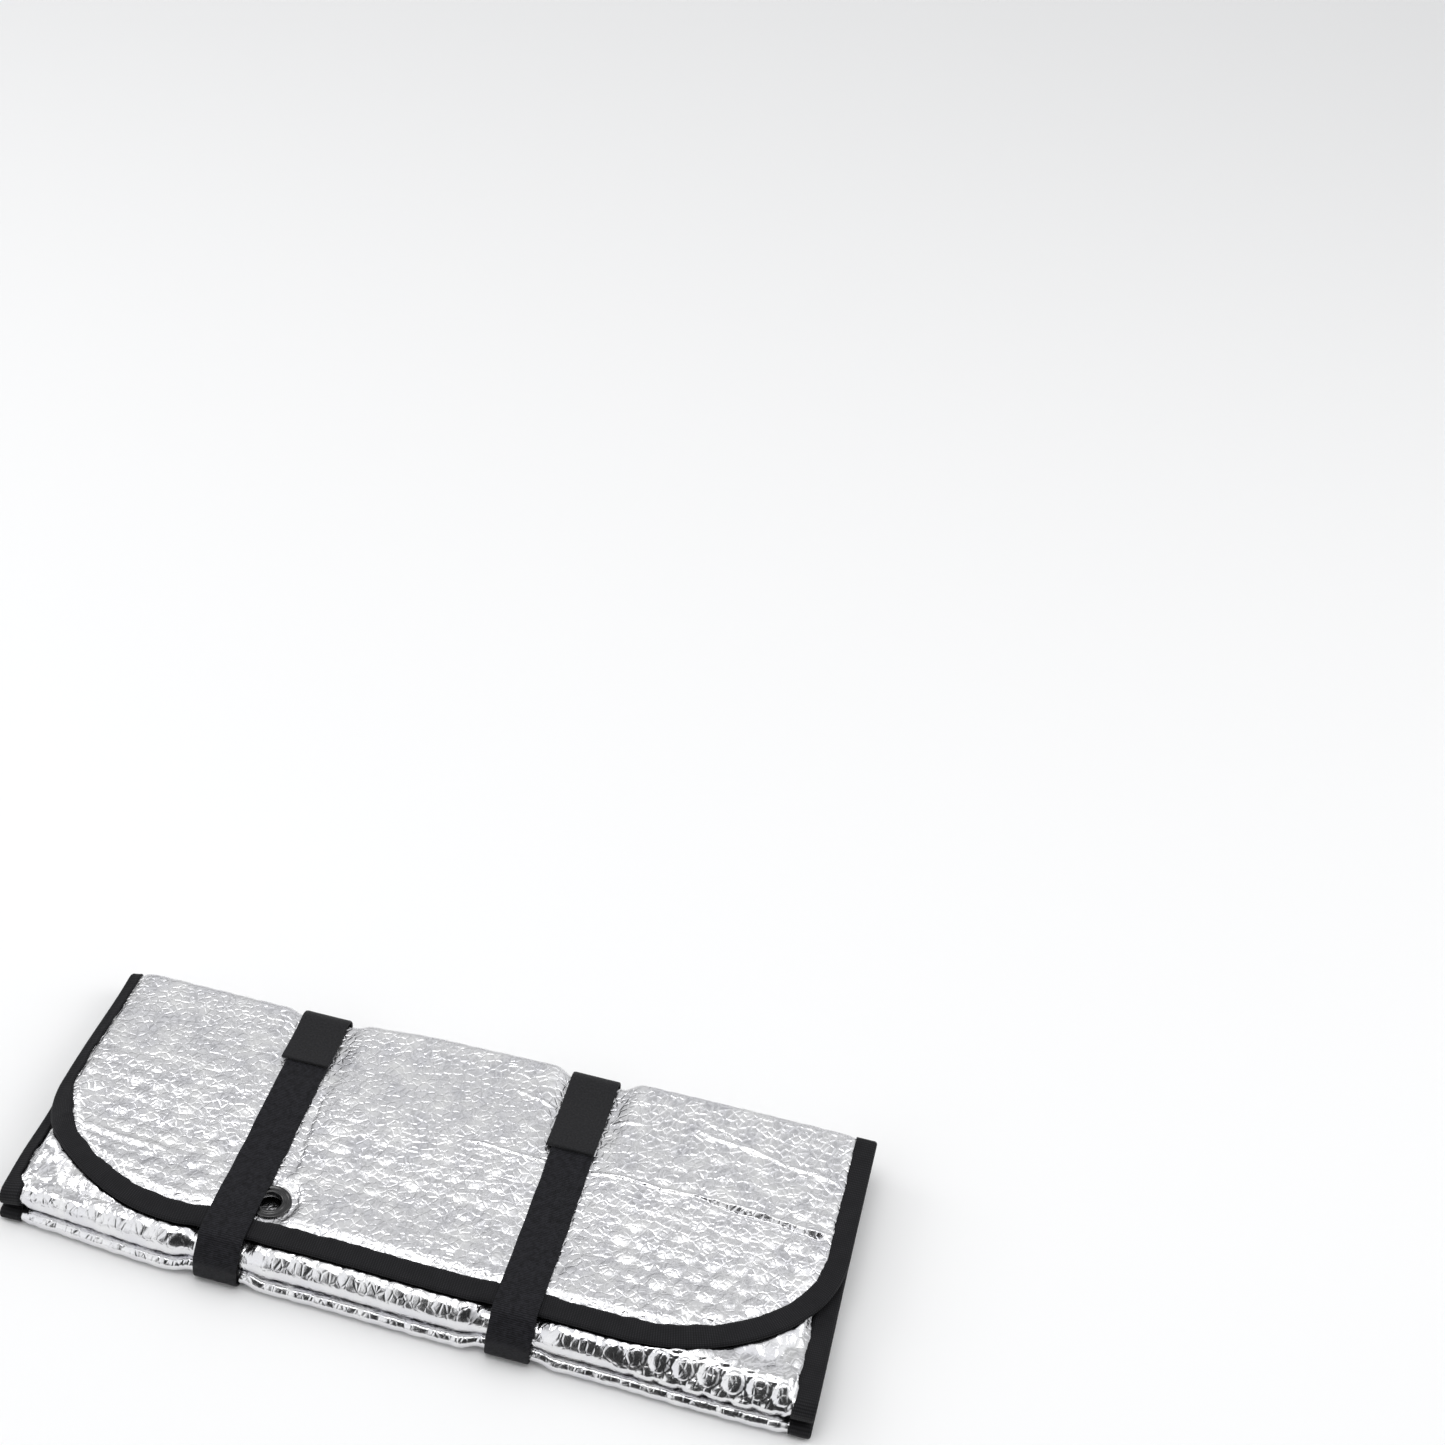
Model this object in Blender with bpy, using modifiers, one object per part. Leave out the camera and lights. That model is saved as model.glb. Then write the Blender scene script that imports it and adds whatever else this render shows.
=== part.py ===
"""Air conditioner cover, folded up for storage and held by two webbing straps.

The cover is one sheet of bubble foil, bound round its edge with black tape. It lies in five
layers, folded back and forth: the base, three layers between, and a flap with rounded corners
on top. Each strap runs round the bundle and is closed at the back by a hook-and-loop tab.
Metres, Z up. X runs along the bundle, left to right, and Y from its front to its back.
"""

import math

import bmesh
import bpy
from mathutils import Vector
from mathutils.geometry import delaunay_2d_cdt

# The sheet and the tape that binds its edge
SHEET_HALF_WIDTH = 0.2244
FOIL_THICKNESS = 0.0035
BOUND_THICKNESS = 0.0014
TAPE_THICKNESS = 0.0007
TAPE_WIDTH = 0.0112
TAPER_WIDTH = 0.0165
TAPER_GAP = 0.0040
TAPE_TURN = 0.0011
TAPE_BEND = 0.0004
TAPE_ROUND = 0.45
GAP = 0.0003

# Heights of the middle of each layer: name, at the back, in the middle, at the front
LAYERS = (
    ("base", 0.00175, 0.00175, 0.00175),
    ("second", 0.0070, 0.0070, 0.0069),
    ("third", 0.0126, 0.0126, 0.0120),
    ("fourth", 0.0180, 0.0188, 0.0232),
    ("flap", 0.0236, 0.0256, 0.0289),
)
# Where the folds between the layers turn: the Y of each fold's centre
FOLDS = (-0.0873, 0.0822, -0.0823, 0.0822)
BASE_EDGE_Y = 0.0780
FLAP_EDGE_Y = -0.0771
FLAP_EDGE_DROP = 0.0006
FLAP_EDGE_REACH = 0.0120
FRONT_RISE = (-0.020, -0.066)
BACK_FALL = (0.010, 0.076)

# The rounded corners of the sheet: reach along its width, reach along its length
LEFT_CORNER = (0.089, 0.071)
RIGHT_CORNER = (0.110, 0.085)

# The eyelet in the flap, beside the left strap
EYELET_X = -0.0851
EYELET_Y = -0.0515
EYELET_HOLE = 0.0060
EYELET_NECK = 0.0080
EYELET_RIM = 0.0116
EYELET_PLATE = 0.0012
EYELET_BEVEL = 0.0005
EYELET_HEIGHT = 0.0262
EYELET_SLOPE = -0.082
CLOTH_HOLE = 0.0085
DENT_FLAT = 0.0130
DENT_END = 0.0195
PRESS_DEPTH = 0.0014
PRESS_END = 0.0300

# The straps and their tabs: name, X of the middle, Y where the tab ends on the top
STRAPS = (
    ("left", -0.1011, 0.0470),
    ("right", 0.0619, 0.0300),
)
STRAP_WIDTH = 0.0245
STRAP_THICKNESS = 0.0015
FRONT_Y = -0.0924
BACK_Y = 0.0871
STRAP_END_Y = 0.0660
STRAP_END_Z = 0.0120
TAB_WIDTH = 0.0280
TAB_SHIFT = -0.0015
TAB_THICKNESS = 0.0016
TAB_START_Z = 0.0060

# How the straps draw the bundle in, and how it slumps and bulges elsewhere
GROOVE_FLAT = 0.0155
GROOVE_END = 0.0270
GROOVE_BASE = 0.0018
GROOVE_TOP = 0.0012
GROOVE_SIDE = 0.0012
GROOVE_BACK = 0.0014
BACK_LEAN = 0.09
BACK_SHIFT = -0.0015
BACK_SKEW = 0.0035
BACK_PUFF = 0.0034
BACK_RISE = 0.0014
LEFT_DROOP = 0.20
LEFT_SPREAD = 0.0020
LEFT_TUCK = 0.0040
RIGHT_SPREAD = 0.0013
RIGHT_SHEAR = 0.0007
FRONT_SLACK = 0.0012
SLACK_WAVE = 9.0
SLACK_PHASE = 0.6
TOP_PUFF = 0.0010
PUFF_WAVE = 2.2

# Where each of those moves starts and is full: up the bundle (Z), along it (X) or across it (Y)
UPPER_Z = (0.010, 0.024)
LOWER_Z = (0.020, 0.004)
FRONT_Y_ZONE = (-0.030, -0.070)
BACK_Y_ZONE = (0.030, 0.070)
LEAN_Y_ZONE = (-0.030, 0.080)
SHIFT_Y_ZONE = (0.020, 0.086)
SKEW_X_ZONE = (-0.090, -0.030)
SWELL_X_ZONE = (-0.110, 0.160)
SWELL_Y_ZONE = (0.045, 0.084)
SPREAD_X_ZONE = (-0.100, -0.224)
SPREAD_Y_ZONE = (0.090, -0.010)
DROOP_X_ZONE = (-0.208, -0.226)
TUCK_X_ZONE = (-0.120, -0.224)
SHEAR_X_ZONE = (0.100, 0.224)
SHEAR_Y_ZONE = (0.030, -0.090)

# The outline the straps follow in the YZ plane: the stretch of flap it samples, then from the
# flap's front edge round to the top of the back, the Y, Z and rounding radius of each corner
SKIN_TOP = (0.0720, -0.0720)
SKIN_TOP_STEPS = 12
SKIN_ARC_STEP = math.radians(13.0)
SKIN_CORNERS = (
    (-0.0826, 0.0302, 0.0050),
    (FRONT_Y, 0.0196, 0.0120),
    (FRONT_Y, 0.0, 0.0046),
    (BACK_Y, 0.0, 0.0046),
    (BACK_Y, TAB_START_Z, 0.0),
    (BACK_Y, STRAP_END_Z, 0.0),
    (BACK_Y, 0.0256, 0.0055),
)

# How finely the cloth is divided
LAYER_ROWS = 8
FOLD_ROWS = 6
FINE_STEPS = 6
CORNER_STEPS = 9
EYELET_STEPS = 20
RING_STEPS = 32
COLUMN_STEP = 0.030
NORMAL_STEP = 0.0004
ROW_MARGIN = 0.0010


def smooth(value):
    """Ease from 0 to 1 as the value goes from 0 to 1."""
    value = min(max(value, 0.0), 1.0)
    return value * value * (3.0 - 2.0 * value)


def ramp(value, start, end):
    """Ease from 0 at the start to 1 at the end."""
    return smooth((value - start) / (end - start))


def layer_height(layer, y):
    """Height of the middle of a layer over a point along Y."""
    _, back, middle, front = layer
    rise = (front - middle) * ramp(y, *FRONT_RISE)
    fall = (back - middle) * ramp(y, *BACK_FALL)
    height = middle + rise + fall
    if layer is LAYERS[-1]:
        height -= FLAP_EDGE_DROP * ramp(y, FLAP_EDGE_Y + FLAP_EDGE_REACH, FLAP_EDGE_Y)
    return height


def build_path():
    """The cloth's centre line in the YZ plane, and the places of its rows along it."""
    points = []
    rows = []
    ends = (BASE_EDGE_Y,) + FOLDS + (FLAP_EDGE_Y,)
    for index, layer in enumerate(LAYERS):
        start, stop = ends[index], ends[index + 1]
        for step in range(LAYER_ROWS * FINE_STEPS):
            if step % FINE_STEPS == 0:
                rows.append(len(points))
            y = start + (stop - start) * step / (LAYER_ROWS * FINE_STEPS)
            points.append((y, layer_height(layer, y)))
        if index == len(FOLDS):
            break
        low = layer_height(layer, stop)
        high = layer_height(LAYERS[index + 1], stop)
        outward = -1.0 if stop < 0.0 else 1.0
        radius = 0.5 * (high - low)
        for step in range(FOLD_ROWS * FINE_STEPS):
            if step % FINE_STEPS == 0:
                rows.append(len(points))
            angle = math.pi * step / (FOLD_ROWS * FINE_STEPS)
            y = stop + outward * radius * math.sin(angle)
            z = low + radius * (1.0 - math.cos(angle))
            points.append((y, z))
    rows.append(len(points))
    points.append((FLAP_EDGE_Y, layer_height(LAYERS[-1], FLAP_EDGE_Y)))
    lengths = [0.0]
    for before, after in zip(points, points[1:]):
        lengths.append(lengths[-1] + math.dist(before, after))
    return points, lengths, [lengths[row] for row in rows]


PATH, PATH_LENGTHS, ROW_PLACES = build_path()
SHEET_LENGTH = PATH_LENGTHS[-1]


def on_path(place):
    """The point of the centre line at a distance along it, carried straight on past its ends."""
    low, high = 0, len(PATH) - 2
    while low < high:
        middle = (low + high + 1) // 2
        if PATH_LENGTHS[middle] <= place:
            low = middle
        else:
            high = middle - 1
    share = (place - PATH_LENGTHS[low]) / (PATH_LENGTHS[low + 1] - PATH_LENGTHS[low])
    (y0, z0), (y1, z1) = PATH[low], PATH[low + 1]
    return y0 + (y1 - y0) * share, z0 + (z1 - z0) * share


def groove(x):
    """How far a place along the bundle lies in a strap's groove, from 0 to 1."""
    depth = 0.0
    for _, strap_x, _ in STRAPS:
        depth = max(depth, 1.0 - ramp(abs(x - strap_x), GROOVE_FLAT, GROOVE_END))
    return depth


def settle(x, y, z):
    """Move a point of the evenly folded bundle to where the slumped, strapped one has it."""
    side = x / SHEET_HALF_WIDTH
    pull = groove(x)
    free = 1.0 - pull
    upper = ramp(z, *UPPER_Z)
    lower = ramp(z, *LOWER_Z)
    front = ramp(y, *FRONT_Y_ZONE)
    back = ramp(y, *BACK_Y_ZONE)
    lift = BACK_LEAN * side * ramp(y, *LEAN_Y_ZONE) * max(z - LAYERS[0][1], 0.0)
    puff = TOP_PUFF * free * upper * (1.0 - back) * math.cos(PUFF_WAVE * side) ** 2
    droop = LEFT_DROOP * ramp(x, *DROOP_X_ZONE) * max(z - LAYERS[0][1], 0.0)
    shift = (BACK_SHIFT + BACK_SKEW * ramp(x, *SKEW_X_ZONE)) * ramp(y, *SHIFT_Y_ZONE)
    swell = free * upper * ramp(x, *SWELL_X_ZONE) * ramp(y, *SWELL_Y_ZONE)
    spread = (RIGHT_SPREAD + RIGHT_SHEAR * ramp(y, *SHEAR_Y_ZONE)) * ramp(x, *SHEAR_X_ZONE)
    spread -= LEFT_SPREAD * ramp(x, *SPREAD_X_ZONE) * ramp(y, *SPREAD_Y_ZONE)
    tuck = LEFT_TUCK * ramp(x, *TUCK_X_ZONE) * front
    wave = 0.5 + 0.5 * math.sin(SLACK_WAVE * side + SLACK_PHASE)
    slack = FRONT_SLACK * free * front * wave
    press = (GROOVE_TOP + GROOVE_BACK * back) * upper - GROOVE_BASE * lower
    new_y = y + GROOVE_SIDE * pull * (front - back) + shift + tuck - slack + BACK_PUFF * swell
    new_z = z + lift + puff - droop - press * pull + BACK_RISE * swell
    return Vector((x + spread, new_y, new_z))


def flap_place(y):
    """How far along the sheet a place on the flap is."""
    return SHEET_LENGTH - (y - FLAP_EDGE_Y)


def cloth_point(x, place):
    """The middle of the cloth at a point of its flat pattern."""
    y, z = on_path(place)
    point = settle(x, y, z)
    if place < flap_place(FOLDS[-1]):
        near = 1.0 - ramp(math.hypot(x - EYELET_X, y - EYELET_Y), DENT_FLAT, PRESS_END)
        point.z -= PRESS_DEPTH * near * ramp(z, LAYERS[2][3], LAYERS[3][2])
    along = flap_place(EYELET_Y) - place
    reach = math.hypot(x - EYELET_X, along)
    flat = 1.0 - ramp(reach, DENT_FLAT, DENT_END)
    seat = Vector((x, EYELET_Y + along, EYELET_HEIGHT + EYELET_SLOPE * along))
    return point.lerp(seat, flat)


def cloth_normal(x, place):
    """The direction square to the cloth at a point of its flat pattern."""
    step = NORMAL_STEP
    across = cloth_point(x + step, place) - cloth_point(x - step, place)
    along = cloth_point(x, place + step) - cloth_point(x, place - step)
    return across.cross(along).normalized()


def clamp_rows(start, stop):
    """The rows that lie between two places, clear of both."""
    return [place for place in ROW_PLACES if start + ROW_MARGIN < place < stop - ROW_MARGIN]


def column_places():
    """Where the columns of the flat pattern stand across it, closer beside the straps."""
    fixed = []
    for _, strap_x, _ in STRAPS:
        for reach in (GROOVE_FLAT, 0.5 * (GROOVE_FLAT + GROOVE_END), GROOVE_END):
            fixed += [strap_x - reach, strap_x + reach]
        fixed.append(strap_x)
    inner = SHEET_HALF_WIDTH - TAPER_WIDTH
    fixed = sorted(fixed + [-inner, inner])
    columns = []
    for left, right in zip(fixed, fixed[1:]):
        count = max(1, round((right - left) / COLUMN_STEP))
        columns += [left + (right - left) * step / count for step in range(count)]
    return columns[1:]


def outline():
    """Points round the flat sheet's edge, each with its inward direction."""
    columns = column_places()
    corners = (
        (1, 0.0, RIGHT_CORNER),
        (1, SHEET_LENGTH, RIGHT_CORNER),
        (-1, SHEET_LENGTH, LEFT_CORNER),
        (-1, 0.0, LEFT_CORNER),
    )
    points = []
    for index, (side, end, (wide, long)) in enumerate(corners):
        facing = 1.0 if end > 0.0 else -1.0
        centre_x = side * (SHEET_HALF_WIDTH - wide)
        centre_place = end - facing * long
        arc = []
        for step in range(CORNER_STEPS + 1):
            angle = 0.5 * math.pi * step / CORNER_STEPS
            inward = Vector((-side * math.cos(angle) / wide, -facing * math.sin(angle) / long))
            x = centre_x + side * wide * math.cos(angle)
            place = centre_place + facing * long * math.sin(angle)
            arc.append((x, place, inward.normalized()))
        if index % 2 == 0:
            arc.reverse()
        points += arc
        if index == 0:
            straight = clamp_rows(arc[-1][1], SHEET_LENGTH - long)
            points += [(SHEET_HALF_WIDTH, place, Vector((-1, 0))) for place in straight]
        elif index == 2:
            straight = clamp_rows(long, arc[-1][1])
            points += [(-SHEET_HALF_WIDTH, place, Vector((1, 0))) for place in reversed(straight)]
        else:
            first = -SHEET_HALF_WIDTH + LEFT_CORNER[0]
            last = SHEET_HALF_WIDTH - RIGHT_CORNER[0]
            straight = [first] + [x for x in columns if first < x < last] + [last]
            middles = [(left + right) / 2 for left, right in zip(straight, straight[1:])]
            straight = sorted(straight[1:-1] + middles)
            if index == 1:
                straight.reverse()
            points += [(x, end, Vector((0, -facing))) for x in straight]
    return points


def add_object(name, mesh, colour, roughness, metallic):
    """Link a mesh into the cover's collection with a finish of its own."""
    material = bpy.data.materials.new(name + "_finish")
    material.use_nodes = True
    shader = material.node_tree.nodes["Principled BSDF"]
    shader.inputs["Base Color"].default_value = (*colour, 1.0)
    shader.inputs["Roughness"].default_value = roughness
    shader.inputs["Metallic"].default_value = metallic
    mesh.materials.append(material)
    piece = bpy.data.objects.new(name, mesh)
    cover.objects.link(piece)
    mesh.shade_smooth()
    return piece


def solidify(piece, thickness):
    """Give an open surface its thickness, half to each side."""
    shell = piece.modifiers.new("Thickness", "SOLIDIFY")
    shell.thickness = thickness
    shell.offset = 0.0
    return shell


def foil_sheet():
    """The bubble foil: a flat pattern with its eyelet hole, folded, then given its thickness."""
    edge = outline()
    centre = Vector((EYELET_X, flap_place(EYELET_Y)))
    coords = []
    links = []
    thin = set()

    def add_loop(loop, is_thin):
        first = len(coords)
        coords.extend(Vector(point) for point in loop)
        count = len(loop)
        links.extend((first + step, first + (step + 1) % count) for step in range(count))
        if is_thin:
            thin.update(range(first, first + count))

    for inset in (0.0, TAPE_WIDTH):
        add_loop([(x + inset * way.x, place + inset * way.y) for x, place, way in edge], True)
    turns = [2.0 * math.pi * step / EYELET_STEPS for step in range(EYELET_STEPS)]
    for radius in (CLOTH_HOLE, DENT_FLAT):
        add_loop([centre + radius * Vector((math.cos(a), math.sin(a))) for a in turns], True)
    border = [Vector((x, place)) + TAPER_WIDTH * way for x, place, way in edge]
    coords += [point for point in border if (point - centre).length > DENT_FLAT + TAPER_GAP]
    for place in ROW_PLACES:
        row = [Vector((x, place)) for x in column_places()]
        row = [point for point in row if inside_border(point, border, TAPER_GAP)]
        coords += [point for point in row if (point - centre).length > DENT_FLAT + TAPER_WIDTH / 2]
    for place in ROW_PLACES:
        row = [index for index, point in enumerate(coords) if abs(point.y - place) < 1e-7]
        row.sort(key=lambda index: coords[index].x)
        for left, right in zip(row, row[1:]):
            middle = (coords[left] + coords[right]) / 2
            if coords[right].x - coords[left].x < 1.5 * COLUMN_STEP:
                if (middle - centre).length > CLOTH_HOLE + COLUMN_STEP / 2:
                    links.append((left, right))
    flat, _, faces, _, _, _ = delaunay_2d_cdt(coords, links, [], 0, 1e-7)
    if len(flat) != len(coords):
        raise ValueError("the flat pattern's points should stay as they are")
    kept = []
    for face in faces:
        middle = sum((flat[corner] for corner in face), Vector((0.0, 0.0))) / len(face)
        if (middle - centre).length > 0.99 * CLOTH_HOLE:
            kept.append(face)
    mesh = bpy.data.meshes.new("foil_sheet")
    mesh.from_pydata([cloth_point(point.x, point.y) for point in flat], [], kept)
    piece = add_object("foil_sheet", mesh, (0.62, 0.63, 0.64), 0.3, 1.0)
    weights = piece.vertex_groups.new(name="puffed")
    for index in range(len(flat)):
        weights.add([index], BOUND_THICKNESS / FOIL_THICKNESS if index in thin else 1.0, "REPLACE")
    shell = solidify(piece, FOIL_THICKNESS)
    shell.vertex_group = weights.name
    return piece


def inside_border(point, border, margin):
    """Whether a flat point is inside the convex border loop by at least the margin."""
    for first, second in zip(border, border[1:] + border[:1]):
        along = (second - first).normalized()
        away = point - first
        if along.x * away.y - along.y * away.x < margin:
            return False
    return True


def edge_binding():
    """The tape, folded over the sheet's edge all the way round."""
    height = 0.5 * BOUND_THICKNESS + GAP + 0.5 * TAPE_THICKNESS
    profile = (
        (TAPE_WIDTH - GAP, height),
        (TAPE_BEND, height),
        (-TAPE_TURN, TAPE_ROUND * height),
        (-TAPE_TURN, -TAPE_ROUND * height),
        (TAPE_BEND, -height),
        (TAPE_WIDTH - GAP, -height),
    )
    shape = bmesh.new()
    rings = []
    for x, place, inward in outline():
        ring = []
        for inset, rise in profile:
            flat_x = x + inset * inward.x
            flat_place = place + inset * inward.y
            spot = cloth_point(flat_x, flat_place) + rise * cloth_normal(flat_x, flat_place)
            ring.append(shape.verts.new(spot))
        rings.append(ring)
    for ring, following in zip(rings, rings[1:] + rings[:1]):
        for step in range(len(profile) - 1):
            corners = (ring[step], ring[step + 1], following[step + 1], following[step])
            shape.faces.new(corners)
    bmesh.ops.recalc_face_normals(shape, faces=shape.faces)
    mesh = bpy.data.meshes.new("edge_binding")
    shape.to_mesh(mesh)
    shape.free()
    piece = add_object("edge_binding", mesh, (0.012, 0.012, 0.014), 0.7, 0.0)
    solidify(piece, TAPE_THICKNESS)
    return piece


def round_corners(corners):
    """A closed outline from corner points, each with the radius of the arc that rounds it."""
    points = []
    count = len(corners)
    for index, (y, z, radius) in enumerate(corners):
        corner = Vector((y, z))
        if radius == 0.0:
            points.append(corner)
            continue
        before = Vector(corners[index - 1][:2])
        after = Vector(corners[(index + 1) % count][:2])
        back = (before - corner).normalized()
        ahead = (after - corner).normalized()
        half = 0.5 * back.angle(ahead)
        centre = corner + (back + ahead).normalized() * radius / math.sin(half)
        start = corner + back * radius / math.tan(half) - centre
        end = corner + ahead * radius / math.tan(half) - centre
        steps = max(2, round(start.angle(end) / SKIN_ARC_STEP))
        for step in range(steps + 1):
            share = step / steps
            turn = start.angle(end)
            blend = start * math.sin((1 - share) * turn) + end * math.sin(share * turn)
            points.append(centre + blend / math.sin(turn))
    return points


def top_point(y):
    """A point of the skin on the top of the bundle."""
    return Vector((y, layer_height(LAYERS[-1], y) + 0.5 * FOIL_THICKNESS))


def skin_outline():
    """The bundle's outer skin in the YZ plane, from the back of the top round to it again."""
    first, last = SKIN_TOP
    stride = (last - first) / SKIN_TOP_STEPS
    top_places = [first + stride * step for step in range(SKIN_TOP_STEPS + 1)] + [STRAP_END_Y]
    top_places += [end_y for _, _, end_y in STRAPS]
    top_places.sort(reverse=True)
    corners = [(*top_point(y), 0.0) for y in top_places]
    return round_corners(corners + list(SKIN_CORNERS))


def wrap_band(offset, start, stop):
    """The part of the skin, set outwards, that a band covers between two of its points."""
    skin = skin_outline()
    count = len(skin)
    first = min(range(count), key=lambda index: (skin[index] - start).length)
    last = min(range(count), key=lambda index: (skin[index] - stop).length)
    band = []
    for step in range((last - first) % count + 1):
        index = (first + step) % count
        along = (skin[(index + 1) % count] - skin[index - 1]).normalized()
        band.append(skin[index] + offset * Vector((along.y, -along.x)))
    return band


def band_object(name, line, middle_x, width, thickness, colour):
    """A flat band that follows a line round the bundle."""
    shape = bmesh.new()
    rows = []
    for point in line:
        row = []
        for share in (-0.5, 0.0, 0.5):
            row.append(shape.verts.new(settle(middle_x + share * width, point.x, point.y)))
        rows.append(row)
    for row, following in zip(rows, rows[1:]):
        for step in range(2):
            shape.faces.new((row[step], row[step + 1], following[step + 1], following[step]))
    mesh = bpy.data.meshes.new(name)
    shape.to_mesh(mesh)
    shape.free()
    piece = add_object(name, mesh, colour, 0.8, 0.0)
    solidify(piece, thickness)
    return piece


def strap(side, middle_x):
    """A webbing strap: from under its tab, over the top, down the front, and under to the back."""
    offset = GAP + 0.5 * STRAP_THICKNESS
    line = wrap_band(offset, top_point(STRAP_END_Y), Vector((BACK_Y, STRAP_END_Z)))
    band_object("strap_" + side, line, middle_x, STRAP_WIDTH, STRAP_THICKNESS, (0.011, 0.011, 0.014))


def tab(side, middle_x, end_y):
    """A hook-and-loop tab: from the strap's back end up over the fold and onto its front end."""
    offset = 2.0 * GAP + STRAP_THICKNESS + 0.5 * TAB_THICKNESS
    line = wrap_band(offset, Vector((BACK_Y, TAB_START_Z)), top_point(end_y))
    tab_x = middle_x + TAB_SHIFT
    band_object("tab_" + side, line, tab_x, TAB_WIDTH, TAB_THICKNESS, (0.02, 0.02, 0.023))


def eyelet():
    """The black plastic eyelet: a neck through the cloth between two round plates."""
    inner_face = 0.5 * BOUND_THICKNESS + GAP
    outer_face = inner_face + EYELET_PLATE
    bevel = EYELET_BEVEL
    half = (
        (EYELET_HOLE, outer_face - bevel),
        (EYELET_HOLE + bevel, outer_face),
        (EYELET_RIM - 1.6 * bevel, outer_face),
        (EYELET_RIM - 0.4 * bevel, outer_face - 0.6 * bevel),
        (EYELET_RIM, outer_face - 1.6 * bevel),
        (EYELET_RIM, inner_face),
        (EYELET_NECK, inner_face),
    )
    ring = half + tuple((radius, -height) for radius, height in reversed(half))
    shape = bmesh.new()
    verts = [shape.verts.new((radius, 0.0, height)) for radius, height in ring]
    for first, second in zip(verts, verts[1:] + verts[:1]):
        shape.edges.new((first, second))
    mesh = bpy.data.meshes.new("eyelet_ring")
    shape.to_mesh(mesh)
    shape.free()
    piece = add_object("eyelet_ring", mesh, (0.01, 0.01, 0.012), 0.3, 0.0)
    turn = piece.modifiers.new("Turn", "SCREW")
    turn.steps = RING_STEPS
    turn.render_steps = RING_STEPS
    turn.use_merge_vertices = True
    turn.merge_threshold = 0.00005
    piece.location = (EYELET_X, EYELET_Y, EYELET_HEIGHT)
    piece.rotation_euler.x = math.atan(EYELET_SLOPE)
    return piece


def centre_on_box(pieces):
    """Move the pieces so that the box round them all stands on the middle of its base."""
    graph = bpy.context.evaluated_depsgraph_get()
    corners = []
    for piece in pieces:
        solid = piece.evaluated_get(graph)
        corners += [solid.matrix_world @ Vector(corner) for corner in solid.bound_box]
    lows = [min(corner[axis] for corner in corners) for axis in range(3)]
    highs = [max(corner[axis] for corner in corners) for axis in range(3)]
    for piece in pieces:
        piece.location.x -= 0.5 * (lows[0] + highs[0])
        piece.location.y -= 0.5 * (lows[1] + highs[1])
        piece.location.z -= lows[2]


for leftover in list(bpy.data.objects):
    bpy.data.objects.remove(leftover, do_unlink=True)
cover = bpy.data.collections.new("air_conditioner_cover")
bpy.context.scene.collection.children.link(cover)

foil_sheet()
edge_binding()
for strap_side, strap_middle, tab_end in STRAPS:
    strap(strap_side, strap_middle)
    tab(strap_side, strap_middle, tab_end)
eyelet()
bpy.context.view_layer.update()
centre_on_box(list(cover.objects))
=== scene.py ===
import math

import bpy
import numpy as np
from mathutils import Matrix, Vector, noise


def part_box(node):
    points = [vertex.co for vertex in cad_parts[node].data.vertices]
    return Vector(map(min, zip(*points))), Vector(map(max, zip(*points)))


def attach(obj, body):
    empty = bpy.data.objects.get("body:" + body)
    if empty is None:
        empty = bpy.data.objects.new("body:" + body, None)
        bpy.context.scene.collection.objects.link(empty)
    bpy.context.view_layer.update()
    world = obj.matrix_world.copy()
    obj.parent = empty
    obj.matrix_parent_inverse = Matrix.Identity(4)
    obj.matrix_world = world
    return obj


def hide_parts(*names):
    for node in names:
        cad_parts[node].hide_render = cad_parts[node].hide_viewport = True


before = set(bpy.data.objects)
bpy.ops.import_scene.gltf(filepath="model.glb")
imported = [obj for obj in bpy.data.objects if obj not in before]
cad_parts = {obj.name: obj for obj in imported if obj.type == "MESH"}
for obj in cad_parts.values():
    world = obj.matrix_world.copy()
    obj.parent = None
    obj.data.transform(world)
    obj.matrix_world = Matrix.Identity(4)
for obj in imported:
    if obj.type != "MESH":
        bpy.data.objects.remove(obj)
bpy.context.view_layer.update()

# The foil sheet: two skins of bright aluminium film on a layer of air bubbles, cut flat with
# rounded corners and folded back and forth into five layers. The straps press grooves in it,
# and the tape squeezes its edge thin.
sheet_half_width = 0.2244
foil_thickness = 0.0035
bound_thickness = 0.0014
tape_width = 0.0112
taper_width = 0.0165
# Each layer: its name, and the height of its middle at the back, halfway and at the front
layers = (
    ("base", 0.00175, 0.00175, 0.00175),
    ("second", 0.0070, 0.0070, 0.0069),
    ("third", 0.0126, 0.0126, 0.0120),
    ("fourth", 0.0180, 0.0188, 0.0232),
    ("flap", 0.0236, 0.0256, 0.0289),
)
fold_turns = (-0.0873, 0.0822, -0.0823, 0.0822)
base_edge_y = 0.0780
flap_edge_y = -0.0771
flap_edge_drop = 0.0006
# How far the corners' rounds reach across the sheet and along it
left_corner = (0.089, 0.071)
right_corner = (0.110, 0.085)
# Each strap: its side, the x of its middle, and the y where its tab ends
strap_places = (("left", -0.1011, 0.0470), ("right", 0.0619, 0.0300))
eyelet_x = -0.0851
eyelet_y = -0.0515
eyelet_height = 0.0262
eyelet_slope = -0.082
eyelet_seat_radius = 0.0130

eyelet_low, eyelet_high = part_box("eyelet_ring")
eyelet_middle = (eyelet_low + eyelet_high) / 2
frame_shift = np.array((eyelet_middle.x - eyelet_x, eyelet_middle.y - eyelet_y, 0.0))


def ease(value, start, end):
    """A smooth step from 0 at start to 1 at end, where either of them may be the larger."""
    share = np.clip((value - start) / (end - start), 0.0, 1.0)
    return share * share * (3.0 - 2.0 * share)


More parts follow.
